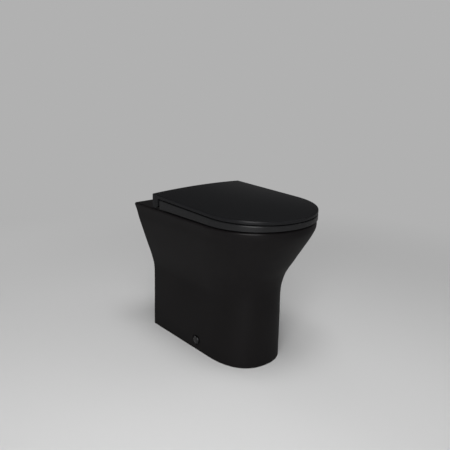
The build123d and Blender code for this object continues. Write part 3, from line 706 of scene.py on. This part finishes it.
@dataclass
class HingeFixings:
    """Posts, gaskets, bolts and plugs that hold the seat and lid to the deck."""

    finishes: dict[str, Finish] = field(
        default_factory=lambda: {
            "hinge_post_left": POLISHED_CHROME,
            "hinge_post_right": POLISHED_CHROME,
            "post_cap_left": POLISHED_CHROME,
            "post_cap_right": POLISHED_CHROME,
            "hinge_gasket_left": BLACK_RUBBER,
            "hinge_gasket_right": BLACK_RUBBER,
            "hinge_bolts": STAINLESS,
            "expansion_plug_left": BLACK_RUBBER,
            "expansion_plug_right": BLACK_RUBBER,
            "cone_nuts": TURNED_BRASS,
            "seat_damper_shaft": STAINLESS,
            "lid_damper_shaft": STAINLESS,
            "seat_pivot_pin": STAINLESS,
            "lid_pivot_pin": STAINLESS,
        }
    )

    cap_radius: float = 7.5
    plug_radius: float = 5.45
    post: tuple[float, float] = (77.5, 121.3)
    cap_heights: tuple[float, float, float] = (458.1, 461.1, 462.5)

    def build(self) -> None:
        """Dress the hinge's fixed pieces and turn the two domed well caps."""
        for node, finish in self.finishes.items():
            dress(node, finish)
        low, brim, top = self.cap_heights
        profile = rounded(
            [(0, top, 0), (self.cap_radius * 0.5, top - 0.08, 0), (self.cap_radius, top - 0.35, 0.9),
             (self.cap_radius, brim, 0.2), (self.plug_radius, brim, 0), (self.plug_radius, low, 0.4), (0, low, 0)]
        )
        for side, name in ((-1.0, "left"), (1.0, "right")):
            cap = Skin()
            cap.add_turned(profile, (side * self.post[0], self.post[1], 0.0), "z")
            node = f"post_cap_{name}"
            cap.piece(f"well_cap_{name}", Body.BASE, node, SLOTS[node], POLISHED_CHROME, 30.0)


@dataclass
class FloorFixings:
    """Brackets, screws, sleeves and bright caps low on the skirt."""

    finishes: dict[str, Finish] = field(
        default_factory=lambda: {
            "floor_bracket_left": PLATED_STEEL,
            "floor_bracket_right": PLATED_STEEL,
            "side_screws": STAINLESS,
            "side_sleeves": WHITE_NYLON,
            # the side caps take the chrome whose dark colour is a painted dark reflection
            "side_cap_left": CHROME_WITH_PAINTED_DARK_REFLECTION,
            "side_cap_right": CHROME_WITH_PAINTED_DARK_REFLECTION,
        }
    )

    centre: tuple[float, float] = (34.0, 31.0)
    recess_floor: float = 104.05
    cap_height: float = 6.2
    cap_wall: float = 1.8
    cap_radius: float = 12.5
    sleeve_radius: float = 9.7

    def build(self) -> None:
        """Dress the floor fixings and turn the two domed caps in the skirt's recesses."""
        for node, finish in self.finishes.items():
            dress(node, finish)
        floor, top, radius = self.recess_floor, self.recess_floor + self.cap_height, self.cap_radius
        inside = top - self.cap_wall
        profile = rounded(
            [(0, top, 0), (radius * 0.3, top - 0.10, 0), (radius * 0.6, top - 0.42, 0), (radius, top - 1.3, 2.2),
             (radius, floor, 0.3), (self.sleeve_radius, floor, 0), (self.sleeve_radius, inside, 0.5), (0, inside, 0)],
            7,
        )
        # The caps wear chrome with a painted dark reflection in its colour.
        for direction, name in (("-x", "left"), ("x", "right")):
            cap = Skin()
            cap.add_turned(profile, (0.0, *self.centre), direction)
            node = f"side_cap_{name}"
            cap.piece(f"fixing_cap_{name}", Body.BASE, node, SLOTS[node], CHROME_WITH_PAINTED_DARK_REFLECTION, 30.0)


@dataclass
class InletFittings:
    """The rubber cone that the flush pipe pushes into."""

    def build(self) -> None:
        """Dress the inlet's seal."""
        dress("inlet_seal", BLACK_RUBBER)


# ---------------------------------------------------------------- studio


@dataclass(frozen=True)
class SoftBox:
    """One square studio lamp that faces a point."""

    name: str
    place: tuple[float, float, float]
    aim: tuple[float, float, float]
    size: float
    watts: float

    def build(self) -> None:
        """Hang the lamp and turn it to its point."""
        lamp = bpy.data.lights.new(self.name, "AREA")
        lamp.shape = "SQUARE"
        lamp.size = self.size
        lamp.energy = self.watts
        holder = bpy.data.objects.new(self.name, lamp)
        holder.location = self.place
        towards = Vector(self.aim) - Vector(self.place)
        holder.rotation_euler = towards.to_track_quat("-Z", "Y").to_euler()
        bpy.context.scene.collection.objects.link(holder)


@dataclass
class Studio:
    """Plain pale floor that fades into pale surroundings, and soft lamps."""

    floor_radius: float = 30.0
    floor_tone: float = 0.62
    fade_start: float = 0.40
    fade_end: float = 1.90
    sky_seen: float = 0.44
    sky_light: float = 0.15
    wall_top: float = 0.14
    ceiling_from: float = 0.26
    ceiling_seen: float = 0.06
    lamps: tuple[SoftBox, ...] = (
        SoftBox("side_softbox", (-2.00, -1.70, 0.85), (0.0, -0.05, 0.25), 1.3, 52.0),
        SoftBox("front_softbox", (-1.50, -1.80, 2.40), (0.0, -0.05, 0.28), 1.2, 22.0),
        SoftBox("top_softbox", (-0.40, -0.60, 2.70), (0.0, 0.0, 0.25), 1.0, 28.0),
        SoftBox("right_softbox", (1.80, -1.30, 2.60), (0.0, -0.05, 0.30), 1.6, 8.0),
        SoftBox("back_fill", (-0.10, 2.90, 0.45), (0.0, 0.1, 0.24), 0.8, 24.0),
    )

    def build(self) -> None:
        """Lay the floor, hang the lamps and set the surroundings."""
        self._floor()
        for lamp in self.lamps:
            lamp.build()
        self._surroundings()
        bpy.context.scene.view_settings.view_transform = "Standard"

    def _floor(self) -> None:
        """A plain round floor at height zero.

        The points lie on circles: radius times cosine and sine of an angle that goes once round.
        """
        angle = np.linspace(0.0, 2.0 * np.pi, 96, endpoint=False)
        ring = np.stack([np.cos(angle), np.sin(angle), 0.0 * angle], axis=1) * self.floor_radius
        mesh = bpy.data.meshes.new("studio_floor")
        mesh.from_pydata(ring.tolist(), [], [tuple(range(len(angle)))])
        floor = bpy.data.objects.new("studio_floor", mesh)
        bpy.context.scene.collection.objects.link(floor)
        mesh.materials.append(self._floor_paint())

    def _floor_paint(self) -> bpy.types.Material:
        """Plain matt paint that turns into the surroundings' own tone far from the object.

        Returns:
            The floor's material.
        """
        tone = self.floor_tone
        paint = Finish("studio_floor_paint", (tone, tone, tone), 0.85, specular=0.1, tone_change=0.0).material()
        tree = paint.node_tree
        place = tree.nodes.new("ShaderNodeTexCoord")
        far = tree.nodes.new("ShaderNodeVectorMath")
        far.operation = "LENGTH"
        fade = tree.nodes.new("ShaderNodeMapRange")
        fade.interpolation_type = "SMOOTHSTEP"
        fade.inputs["From Min"].default_value = self.fade_start
        fade.inputs["From Max"].default_value = self.fade_end
        glow = tree.nodes.new("ShaderNodeEmission")
        glow.inputs["Color"].default_value = (1.0, 1.0, 1.0, 1.0)
        glow.inputs["Strength"].default_value = self.sky_seen
        mix = tree.nodes.new("ShaderNodeMixShader")
        shader = tree.nodes["Principled BSDF"]
        out = tree.nodes["Material Output"]
        tree.links.new(place.outputs["Object"], far.inputs[0])
        tree.links.new(far.outputs["Value"], fade.inputs["Value"])
        shown = tree.nodes.new("ShaderNodeMath")
        shown.operation = "MULTIPLY"
        tree.links.new(self._seeing_rays(tree), shown.inputs[0])
        tree.links.new(fade.outputs["Result"], shown.inputs[1])
        tree.links.new(shown.outputs["Value"], mix.inputs["Fac"])
        tree.links.new(shader.outputs["BSDF"], mix.inputs[1])
        tree.links.new(glow.outputs["Emission"], mix.inputs[2])
        tree.links.new(mix.outputs["Shader"], out.inputs["Surface"])
        return paint

    def _seeing_rays(self, tree: bpy.types.NodeTree) -> bpy.types.NodeSocket:
        """Rays that show the pale background: those of the camera, of gloss and through glass.

        Args:
            tree: The node tree that asks.

        Returns:
            A socket that is 1 on those rays and 0 on the rest.
        """
        rays = tree.nodes.new("ShaderNodeLightPath")
        total = rays.outputs["Is Camera Ray"]
        for kind in ("Is Glossy Ray", "Is Transmission Ray"):
            either = tree.nodes.new("ShaderNodeMath")
            either.operation = "MAXIMUM"
            tree.links.new(total, either.inputs[0])
            tree.links.new(rays.outputs[kind], either.inputs[1])
            total = either.outputs["Value"]
        return total

    def _surroundings(self) -> None:
        """Pale surroundings for the camera and a soft even light for the rest."""
        world = bpy.context.scene.world or bpy.data.worlds.new("studio_world")
        bpy.context.scene.world = world
        world.use_nodes = True
        tree = world.node_tree
        tree.nodes.clear()
        seen = tree.nodes.new("ShaderNodeBackground")
        light = tree.nodes.new("ShaderNodeBackground")
        mix = tree.nodes.new("ShaderNodeMixShader")
        out = tree.nodes.new("ShaderNodeOutputWorld")
        seen.inputs["Color"].default_value = (1.0, 1.0, 1.0, 1.0)
        place = tree.nodes.new("ShaderNodeTexCoord")
        split = tree.nodes.new("ShaderNodeSeparateXYZ")
        height = tree.nodes.new("ShaderNodeMapRange")
        height.interpolation_type = "SMOOTHSTEP"
        height.inputs["From Min"].default_value = self.wall_top
        height.inputs["From Max"].default_value = self.ceiling_from
        height.inputs["To Min"].default_value = self.sky_seen
        height.inputs["To Max"].default_value = self.ceiling_seen
        tree.links.new(place.outputs["Generated"], split.inputs["Vector"])
        tree.links.new(split.outputs["Z"], height.inputs["Value"])
        tree.links.new(height.outputs["Result"], seen.inputs["Strength"])
        light.inputs["Color"].default_value = (1.0, 1.0, 1.0, 1.0)
        light.inputs["Strength"].default_value = self.sky_light
        tree.links.new(self._seeing_rays(tree), mix.inputs["Fac"])
        tree.links.new(light.outputs["Background"], mix.inputs[1])
        tree.links.new(seen.outputs["Background"], mix.inputs[2])
        tree.links.new(mix.outputs["Shader"], out.inputs["Surface"])


@dataclass
class PhotoCamera:
    """Camera at the photograph's viewing angle."""

    place: tuple[float, float, float] = (-1.0074, -1.1090, 0.7963)
    yaw: float = 0.6543
    pitch: float = 0.2708
    lens: float = 42.33
    shift: float = 0.0778

    def build(self) -> None:
        """Set up the camera and make it the scene's own."""
        data = bpy.data.cameras.new("photo_camera")
        data.lens = self.lens
        data.sensor_width = 36.0
        data.shift_x = self.shift
        data.clip_start = 0.05
        data.clip_end = 60.0
        camera = bpy.data.objects.new("photo_camera", data)
        camera.location = self.place
        camera.rotation_euler = (math.pi / 2 - self.pitch, 0.0, -self.yaw)
        bpy.context.scene.collection.objects.link(camera)
        bpy.context.scene.camera = camera


def main() -> None:
    """Build the camera, the studio and every sub-assembly."""
    PhotoCamera().build()
    Studio().build()
    for part in (PanCasting(), SeatUnit(), LidUnit(), HingeFixings(), FloorFixings(), InletFittings()):
        part.build()
        LOG.info("finished %s", type(part).__name__)
    bpy.context.view_layer.update()


if __name__ == "__main__":
    main()
